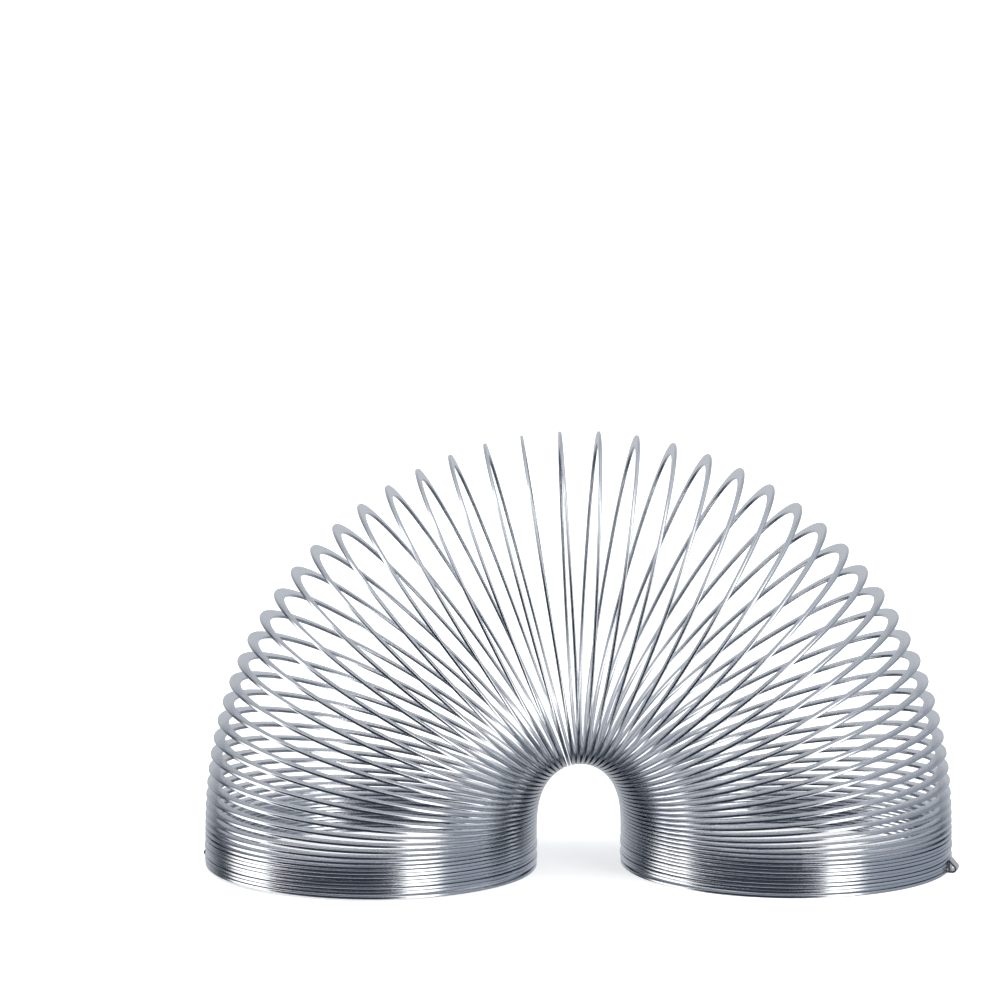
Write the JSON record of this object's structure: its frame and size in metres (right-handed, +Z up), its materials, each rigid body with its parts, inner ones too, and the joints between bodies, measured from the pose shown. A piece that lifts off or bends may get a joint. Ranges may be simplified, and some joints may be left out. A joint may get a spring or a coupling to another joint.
{
  "type": "spring coil toy",
  "caption": "Flat steel wire coil standing as an arch on its two closed ends; its turns fan open at the top and close into one upright stack.",
  "frame": {"origin": "on the floor, midway between the two feet, under the crown of the arch", "axes": "+X from the left foot to the right foot, +Y away from the viewer, +Z up"},
  "size_m": [0.1596, 0.07, 0.0917],
  "materials": {
    "wire": "bright cold-rolled flat steel wire, lightly scratched",
    "clip": "plated steel strip, crimped"
  },
  "bodies": {
    "left_foot": {"left_foot_coil": "wire", "left_end_clip": "clip"},
    "turn_01": {"turn_01": "wire"},
    "turn_02": {"turn_02": "wire"},
    "turn_03": {"turn_03": "wire"},
    "turn_04": {"turn_04": "wire"},
    "turn_05": {"turn_05": "wire"},
    "turn_06": {"turn_06": "wire"},
    "turn_07": {"turn_07": "wire"},
    "turn_08": {"turn_08": "wire"},
    "turn_09": {"turn_09": "wire"},
    "turn_10": {"turn_10": "wire"},
    "turn_11": {"turn_11": "wire"},
    "turn_12": {"turn_12": "wire"},
    "turn_13": {"turn_13": "wire"},
    "turn_14": {"turn_14": "wire"},
    "turn_15": {"turn_15": "wire"},
    "turn_16": {"turn_16": "wire"},
    "turn_17": {"turn_17": "wire"},
    "turn_18": {"turn_18": "wire"},
    "turn_19": {"turn_19": "wire"},
    "turn_20": {"turn_20": "wire"},
    "turn_21": {"turn_21": "wire"},
    "turn_22": {"turn_22": "wire"},
    "turn_23": {"turn_23": "wire"},
    "turn_24": {"turn_24": "wire"},
    "turn_25": {"turn_25": "wire"},
    "turn_26": {"turn_26": "wire"},
    "turn_27": {"turn_27": "wire"},
    "turn_28": {"turn_28": "wire"},
    "turn_29": {"turn_29": "wire"},
    "turn_30": {"turn_30": "wire"},
    "turn_31": {"turn_31": "wire"},
    "turn_32": {"turn_32": "wire"},
    "turn_33": {"turn_33": "wire"},
    "turn_34": {"turn_34": "wire"},
    "turn_35": {"turn_35": "wire"},
    "turn_36": {"turn_36": "wire"},
    "turn_37": {"turn_37": "wire"},
    "turn_38": {"turn_38": "wire"},
    "turn_39": {"turn_39": "wire"},
    "turn_40": {"turn_40": "wire"},
    "turn_41": {"turn_41": "wire"},
    "turn_42": {"turn_42": "wire"},
    "turn_43": {"turn_43": "wire"},
    "turn_44": {"turn_44": "wire"},
    "turn_45": {"turn_45": "wire"},
    "turn_46": {"turn_46": "wire"},
    "turn_47": {"turn_47": "wire"},
    "turn_48": {"turn_48": "wire"},
    "turn_49": {"turn_49": "wire"},
    "turn_50": {"turn_50": "wire"},
    "turn_51": {"turn_51": "wire"},
    "turn_52": {"turn_52": "wire"},
    "turn_53": {"turn_53": "wire"},
    "turn_54": {"turn_54": "wire"},
    "right_foot": {"right_foot_coil": "wire", "right_end_clip": "clip"}
  },
  "joints": [
    {"name": "fan_01", "type": "hinge", "parent": "left_foot", "child": "turn_01", "pos_m": [-0.0101, 0, 0.00654], "axis": [0, -1, 0], "range_deg": [-0.015433, 0.15433], "stiffness_Nm_per_rad": 0.155, "springref_deg": 0.15},
    {"name": "fan_02", "type": "hinge", "parent": "turn_01", "child": "turn_02", "pos_m": [-0.0101, 0, 0.00728], "axis": [0, -1, 0], "range_deg": [-0.035093, 0.35093], "stiffness_Nm_per_rad": 0.155, "springref_deg": 0.35},
    {"name": "fan_03", "type": "hinge", "parent": "turn_02", "child": "turn_03", "pos_m": [-0.01009, 0, 0.00802], "axis": [0, -1, 0], "range_deg": [-0.056637, 0.56637], "stiffness_Nm_per_rad": 0.155, "springref_deg": 0.57},
    {"name": "fan_04", "type": "hinge", "parent": "turn_03", "child": "turn_04", "pos_m": [-0.01008, 0, 0.00877], "axis": [0, -1, 0], "range_deg": [-0.079392, 0.79392], "stiffness_Nm_per_rad": 0.155, "springref_deg": 0.79},
    {"name": "fan_05", "type": "hinge", "parent": "turn_04", "child": "turn_05", "pos_m": [-0.01006, 0, 0.00952], "axis": [0, -1, 0], "range_deg": [-0.1, 1.03], "stiffness_Nm_per_rad": 0.155, "springref_deg": 1.03},
    {"name": "fan_06", "type": "hinge", "parent": "turn_05", "child": "turn_06", "pos_m": [-0.01002, 0, 0.01028], "axis": [0, -1, 0], "range_deg": [-0.13, 1.27], "stiffness_Nm_per_rad": 0.155, "springref_deg": 1.27},
    {"name": "fan_07", "type": "hinge", "parent": "turn_06", "child": "turn_07", "pos_m": [-0.00996, 0, 0.01104], "axis": [0, -1, 0], "range_deg": [-0.15, 1.52], "stiffness_Nm_per_rad": 0.155, "springref_deg": 1.52},
    {"name": "fan_08", "type": "hinge", "parent": "turn_07", "child": "turn_08", "pos_m": [-0.00989, 0, 0.01181], "axis": [0, -1, 0], "range_deg": [-0.18, 1.77], "stiffness_Nm_per_rad": 0.155, "springref_deg": 1.77},
    {"name": "fan_09", "type": "hinge", "parent": "turn_08", "child": "turn_09", "pos_m": [-0.00979, 0, 0.01257], "axis": [0, -1, 0], "range_deg": [-0.2, 2.02], "stiffness_Nm_per_rad": 0.155, "springref_deg": 2.02},
    {"name": "fan_10", "type": "hinge", "parent": "turn_09", "child": "turn_10", "pos_m": [-0.00966, 0, 0.01334], "axis": [0, -1, 0], "range_deg": [-0.23, 2.28], "stiffness_Nm_per_rad": 0.155, "springref_deg": 2.27},
    {"name": "fan_11", "type": "hinge", "parent": "turn_10", "child": "turn_11", "pos_m": [-0.0095, 0, 0.01411], "axis": [0, -1, 0], "range_deg": [-0.25, 2.53], "stiffness_Nm_per_rad": 0.155, "springref_deg": 2.53},
    {"name": "fan_12", "type": "hinge", "parent": "turn_11", "child": "turn_12", "pos_m": [-0.0093, 0, 0.01488], "axis": [0, -1, 0], "range_deg": [-0.28, 2.78], "stiffness_Nm_per_rad": 0.155, "springref_deg": 2.78},
    {"name": "fan_13", "type": "hinge", "parent": "turn_12", "child": "turn_13", "pos_m": [-0.00907, 0, 0.01564], "axis": [0, -1, 0], "range_deg": [-0.3, 3.04], "stiffness_Nm_per_rad": 0.155, "springref_deg": 3.04},
    {"name": "fan_14", "type": "hinge", "parent": "turn_13", "child": "turn_14", "pos_m": [-0.00879, 0, 0.01639], "axis": [0, -1, 0], "range_deg": [-0.33, 3.29], "stiffness_Nm_per_rad": 0.155, "springref_deg": 3.29},
    {"name": "fan_15", "type": "hinge", "parent": "turn_14", "child": "turn_15", "pos_m": [-0.00847, 0, 0.01713], "axis": [0, -1, 0], "range_deg": [-0.35, 3.54], "stiffness_Nm_per_rad": 0.155, "springref_deg": 3.54},
    {"name": "fan_16", "type": "hinge", "parent": "turn_15", "child": "turn_16", "pos_m": [-0.00811, 0, 0.01786], "axis": [0, -1, 0], "range_deg": [-0.38, 3.78], "stiffness_Nm_per_rad": 0.155, "springref_deg": 3.78},
    {"name": "fan_17", "type": "hinge", "parent": "turn_16", "child": "turn_17", "pos_m": [-0.00769, 0, 0.01856], "axis": [0, -1, 0], "range_deg": [-0.4, 4.03], "stiffness_Nm_per_rad": 0.155, "springref_deg": 4.03},
    {"name": "fan_18", "type": "hinge", "parent": "turn_17", "child": "turn_18", "pos_m": [-0.00722, 0, 0.01924], "axis": [0, -1, 0], "range_deg": [-0.43, 4.26], "stiffness_Nm_per_rad": 0.155, "springref_deg": 4.26},
    {"name": "fan_19", "type": "hinge", "parent": "turn_18", "child": "turn_19", "pos_m": [-0.0067, 0, 0.01988], "axis": [0, -1, 0], "range_deg": [-0.45, 4.5], "stiffness_Nm_per_rad": 0.155, "springref_deg": 4.5},
    {"name": "fan_20", "type": "hinge", "parent": "turn_19", "child": "turn_20", "pos_m": [-0.00613, 0, 0.02049], "axis": [0, -1, 0], "range_deg": [-0.47, 4.73], "stiffness_Nm_per_rad": 0.155, "springref_deg": 4.73},
    {"name": "fan_21", "type": "hinge", "parent": "turn_20", "child": "turn_21", "pos_m": [-0.0055, 0, 0.02104], "axis": [0, -1, 0], "range_deg": [-0.49, 4.95], "stiffness_Nm_per_rad": 0.155, "springref_deg": 4.95},
    {"name": "fan_22", "type": "hinge", "parent": "turn_21", "child": "turn_22", "pos_m": [-0.00483, 0, 0.02155], "axis": [0, -1, 0], "range_deg": [-0.52, 5.16], "stiffness_Nm_per_rad": 0.155, "springref_deg": 5.16},
    {"name": "fan_23", "type": "hinge", "parent": "turn_22", "child": "turn_23", "pos_m": [-0.00411, 0, 0.02199], "axis": [0, -1, 0], "range_deg": [-0.54, 5.37], "stiffness_Nm_per_rad": 0.155, "springref_deg": 5.37},
    {"name": "fan_24", "type": "hinge", "parent": "turn_23", "child": "turn_24", "pos_m": [-0.00334, 0, 0.02237], "axis": [0, -1, 0], "range_deg": [-0.56, 5.56], "stiffness_Nm_per_rad": 0.155, "springref_deg": 5.56},
    {"name": "fan_25", "type": "hinge", "parent": "turn_24", "child": "turn_25", "pos_m": [-0.00254, 0, 0.02268], "axis": [0, -1, 0], "range_deg": [-0.57, 5.74], "stiffness_Nm_per_rad": 0.155, "springref_deg": 5.74},
    {"name": "fan_26", "type": "hinge", "parent": "turn_25", "child": "turn_26", "pos_m": [-0.00171, 0, 0.0229], "axis": [0, -1, 0], "range_deg": [-0.59, 5.91], "stiffness_Nm_per_rad": 0.155, "springref_deg": 5.9},
    {"name": "fan_27", "type": "hinge", "parent": "turn_26", "child": "turn_27", "pos_m": [-0.00086, 0, 0.02303], "axis": [0, -1, 0], "range_deg": [-0.6, 6.05], "stiffness_Nm_per_rad": 0.155, "springref_deg": 6.05},
    {"name": "fan_28", "type": "hinge", "parent": "turn_27", "child": "turn_28", "pos_m": [0, 0, 0.02308], "axis": [0, -1, 0], "range_deg": [-0.61, 6.14], "stiffness_Nm_per_rad": 0.155, "springref_deg": 6.14},
    {"name": "fan_29", "type": "hinge", "parent": "turn_28", "child": "turn_29", "pos_m": [0.00086, 0, 0.02303], "axis": [0, -1, 0], "range_deg": [-0.6, 6.05], "stiffness_Nm_per_rad": 0.155, "springref_deg": 6.05},
    {"name": "fan_30", "type": "hinge", "parent": "turn_29", "child": "turn_30", "pos_m": [0.00171, 0, 0.0229], "axis": [0, -1, 0], "range_deg": [-0.59, 5.91], "stiffness_Nm_per_rad": 0.155, "springref_deg": 5.9},
    {"name": "fan_31", "type": "hinge", "parent": "turn_30", "child": "turn_31", "pos_m": [0.00254, 0, 0.02268], "axis": [0, -1, 0], "range_deg": [-0.57, 5.74], "stiffness_Nm_per_rad": 0.155, "springref_deg": 5.74},
    {"name": "fan_32", "type": "hinge", "parent": "turn_31", "child": "turn_32", "pos_m": [0.00334, 0, 0.02237], "axis": [0, -1, 0], "range_deg": [-0.56, 5.56], "stiffness_Nm_per_rad": 0.155, "springref_deg": 5.56},
    {"name": "fan_33", "type": "hinge", "parent": "turn_32", "child": "turn_33", "pos_m": [0.00411, 0, 0.02199], "axis": [0, -1, 0], "range_deg": [-0.54, 5.37], "stiffness_Nm_per_rad": 0.155, "springref_deg": 5.37},
    {"name": "fan_34", "type": "hinge", "parent": "turn_33", "child": "turn_34", "pos_m": [0.00483, 0, 0.02155], "axis": [0, -1, 0], "range_deg": [-0.52, 5.16], "stiffness_Nm_per_rad": 0.155, "springref_deg": 5.16},
    {"name": "fan_35", "type": "hinge", "parent": "turn_34", "child": "turn_35", "pos_m": [0.0055, 0, 0.02104], "axis": [0, -1, 0], "range_deg": [-0.49, 4.95], "stiffness_Nm_per_rad": 0.155, "springref_deg": 4.95},
    {"name": "fan_36", "type": "hinge", "parent": "turn_35", "child": "turn_36", "pos_m": [0.00613, 0, 0.02049], "axis": [0, -1, 0], "range_deg": [-0.47, 4.73], "stiffness_Nm_per_rad": 0.155, "springref_deg": 4.73},
    {"name": "fan_37", "type": "hinge", "parent": "turn_36", "child": "turn_37", "pos_m": [0.0067, 0, 0.01988], "axis": [0, -1, 0], "range_deg": [-0.45, 4.5], "stiffness_Nm_per_rad": 0.155, "springref_deg": 4.5},
    {"name": "fan_38", "type": "hinge", "parent": "turn_37", "child": "turn_38", "pos_m": [0.00722, 0, 0.01924], "axis": [0, -1, 0], "range_deg": [-0.43, 4.26], "stiffness_Nm_per_rad": 0.155, "springref_deg": 4.26},
    {"name": "fan_39", "type": "hinge", "parent": "turn_38", "child": "turn_39", "pos_m": [0.00769, 0, 0.01856], "axis": [0, -1, 0], "range_deg": [-0.4, 4.03], "stiffness_Nm_per_rad": 0.155, "springref_deg": 4.03},
    {"name": "fan_40", "type": "hinge", "parent": "turn_39", "child": "turn_40", "pos_m": [0.00811, 0, 0.01786], "axis": [0, -1, 0], "range_deg": [-0.38, 3.78], "stiffness_Nm_per_rad": 0.155, "springref_deg": 3.78},
    {"name": "fan_41", "type": "hinge", "parent": "turn_40", "child": "turn_41", "pos_m": [0.00847, 0, 0.01713], "axis": [0, -1, 0], "range_deg": [-0.35, 3.54], "stiffness_Nm_per_rad": 0.155, "springref_deg": 3.54},
    {"name": "fan_42", "type": "hinge", "parent": "turn_41", "child": "turn_42", "pos_m": [0.00879, 0, 0.01639], "axis": [0, -1, 0], "range_deg": [-0.33, 3.29], "stiffness_Nm_per_rad": 0.155, "springref_deg": 3.29},
    {"name": "fan_43", "type": "hinge", "parent": "turn_42", "child": "turn_43", "pos_m": [0.00907, 0, 0.01564], "axis": [0, -1, 0], "range_deg": [-0.3, 3.04], "stiffness_Nm_per_rad": 0.155, "springref_deg": 3.04},
    {"name": "fan_44", "type": "hinge", "parent": "turn_43", "child": "turn_44", "pos_m": [0.0093, 0, 0.01488], "axis": [0, -1, 0], "range_deg": [-0.28, 2.78], "stiffness_Nm_per_rad": 0.155, "springref_deg": 2.78},
    {"name": "fan_45", "type": "hinge", "parent": "turn_44", "child": "turn_45", "pos_m": [0.0095, 0, 0.01411], "axis": [0, -1, 0], "range_deg": [-0.25, 2.53], "stiffness_Nm_per_rad": 0.155, "springref_deg": 2.53},
    {"name": "fan_46", "type": "hinge", "parent": "turn_45", "child": "turn_46", "pos_m": [0.00966, 0, 0.01334], "axis": [0, -1, 0], "range_deg": [-0.23, 2.28], "stiffness_Nm_per_rad": 0.155, "springref_deg": 2.27},
    {"name": "fan_47", "type": "hinge", "parent": "turn_46", "child": "turn_47", "pos_m": [0.00979, 0, 0.01257], "axis": [0, -1, 0], "range_deg": [-0.2, 2.02], "stiffness_Nm_per_rad": 0.155, "springref_deg": 2.02},
    {"name": "fan_48", "type": "hinge", "parent": "turn_47", "child": "turn_48", "pos_m": [0.00989, 0, 0.01181], "axis": [0, -1, 0], "range_deg": [-0.18, 1.77], "stiffness_Nm_per_rad": 0.155, "springref_deg": 1.77},
    {"name": "fan_49", "type": "hinge", "parent": "turn_48", "child": "turn_49", "pos_m": [0.00996, 0, 0.01104], "axis": [0, -1, 0], "range_deg": [-0.15, 1.52], "stiffness_Nm_per_rad": 0.155, "springref_deg": 1.52},
    {"name": "fan_50", "type": "hinge", "parent": "turn_49", "child": "turn_50", "pos_m": [0.01002, 0, 0.01028], "axis": [0, -1, 0], "range_deg": [-0.13, 1.27], "stiffness_Nm_per_rad": 0.155, "springref_deg": 1.27},
    {"name": "fan_51", "type": "hinge", "parent": "turn_50", "child": "turn_51", "pos_m": [0.01006, 0, 0.00952], "axis": [0, -1, 0], "range_deg": [-0.1, 1.03], "stiffness_Nm_per_rad": 0.155, "springref_deg": 1.03},
    {"name": "fan_52", "type": "hinge", "parent": "turn_51", "child": "turn_52", "pos_m": [0.01008, 0, 0.00877], "axis": [0, -1, 0], "range_deg": [-0.079392, 0.79392], "stiffness_Nm_per_rad": 0.155, "springref_deg": 0.79},
    {"name": "fan_53", "type": "hinge", "parent": "turn_52", "child": "turn_53", "pos_m": [0.01009, 0, 0.00802], "axis": [0, -1, 0], "range_deg": [-0.056637, 0.56637], "stiffness_Nm_per_rad": 0.155, "springref_deg": 0.57},
    {"name": "fan_54", "type": "hinge", "parent": "turn_53", "child": "turn_54", "pos_m": [0.0101, 0, 0.00728], "axis": [0, -1, 0], "range_deg": [-0.035093, 0.35093], "stiffness_Nm_per_rad": 0.155, "springref_deg": 0.35},
    {"name": "fan_55", "type": "hinge", "parent": "turn_54", "child": "right_foot", "pos_m": [0.0101, 0, 0.00654], "axis": [0, -1, 0], "range_deg": [-0.015433, 0.15433], "stiffness_Nm_per_rad": 0.155, "springref_deg": 0.15}
  ],
  "couplings": [
    {"joint": "fan_01", "follows": "fan_28", "ratio": 0.024964},
    {"joint": "fan_02", "follows": "fan_28", "ratio": 0.056973},
    {"joint": "fan_03", "follows": "fan_28", "ratio": 0.092049},
    {"joint": "fan_04", "follows": "fan_28", "ratio": 0.1291},
    {"joint": "fan_05", "follows": "fan_28", "ratio": 0.16754},
    {"joint": "fan_06", "follows": "fan_28", "ratio": 0.20699},
    {"joint": "fan_07", "follows": "fan_28", "ratio": 0.24718},
    {"joint": "fan_08", "follows": "fan_28", "ratio": 0.2879},
    {"joint": "fan_09", "follows": "fan_28", "ratio": 0.32898},
    {"joint": "fan_10", "follows": "fan_28", "ratio": 0.37027},
    {"joint": "fan_11", "follows": "fan_28", "ratio": 0.41164},
    {"joint": "fan_12", "follows": "fan_28", "ratio": 0.45297},
    {"joint": "fan_13", "follows": "fan_28", "ratio": 0.49416},
    {"joint": "fan_14", "follows": "fan_28", "ratio": 0.5351},
    {"joint": "fan_15", "follows": "fan_28", "ratio": 0.57568},
    {"joint": "fan_16", "follows": "fan_28", "ratio": 0.6158},
    {"joint": "fan_17", "follows": "fan_28", "ratio": 0.65535},
    {"joint": "fan_18", "follows": "fan_28", "ratio": 0.69422},
    {"joint": "fan_19", "follows": "fan_28", "ratio": 0.7323},
    {"joint": "fan_20", "follows": "fan_28", "ratio": 0.76944},
    {"joint": "fan_21", "follows": "fan_28", "ratio": 0.80549},
    {"joint": "fan_22", "follows": "fan_28", "ratio": 0.84029},
    {"joint": "fan_23", "follows": "fan_28", "ratio": 0.8736},
    {"joint": "fan_24", "follows": "fan_28", "ratio": 0.90516},
    {"joint": "fan_25", "follows": "fan_28", "ratio": 0.93458},
    {"joint": "fan_26", "follows": "fan_28", "ratio": 0.96129},
    {"joint": "fan_27", "follows": "fan_28", "ratio": 0.98425},
    {"joint": "fan_30", "follows": "fan_29", "ratio": 0.97668},
    {"joint": "fan_31", "follows": "fan_29", "ratio": 0.94954},
    {"joint": "fan_32", "follows": "fan_29", "ratio": 0.91964},
    {"joint": "fan_33", "follows": "fan_29", "ratio": 0.88758},
    {"joint": "fan_34", "follows": "fan_29", "ratio": 0.85373},
    {"joint": "fan_35", "follows": "fan_29", "ratio": 0.81838},
    {"joint": "fan_36", "follows": "fan_29", "ratio": 0.78175},
    {"joint": "fan_37", "follows": "fan_29", "ratio": 0.74402},
    {"joint": "fan_38", "follows": "fan_29", "ratio": 0.70533},
    {"joint": "fan_39", "follows": "fan_29", "ratio": 0.66584},
    {"joint": "fan_40", "follows": "fan_29", "ratio": 0.62565},
    {"joint": "fan_41", "follows": "fan_29", "ratio": 0.58489},
    {"joint": "fan_42", "follows": "fan_29", "ratio": 0.54366},
    {"joint": "fan_43", "follows": "fan_29", "ratio": 0.50207},
    {"joint": "fan_44", "follows": "fan_29", "ratio": 0.46022},
    {"joint": "fan_45", "follows": "fan_29", "ratio": 0.41823},
    {"joint": "fan_46", "follows": "fan_29", "ratio": 0.37619},
    {"joint": "fan_47", "follows": "fan_29", "ratio": 0.33424},
    {"joint": "fan_48", "follows": "fan_29", "ratio": 0.29251},
    {"joint": "fan_49", "follows": "fan_29", "ratio": 0.25113},
    {"joint": "fan_50", "follows": "fan_29", "ratio": 0.2103},
    {"joint": "fan_51", "follows": "fan_29", "ratio": 0.17022},
    {"joint": "fan_52", "follows": "fan_29", "ratio": 0.13116},
    {"joint": "fan_53", "follows": "fan_29", "ratio": 0.093522},
    {"joint": "fan_54", "follows": "fan_29", "ratio": 0.057885},
    {"joint": "fan_55", "follows": "fan_29", "ratio": 0.025364}
  ]
}
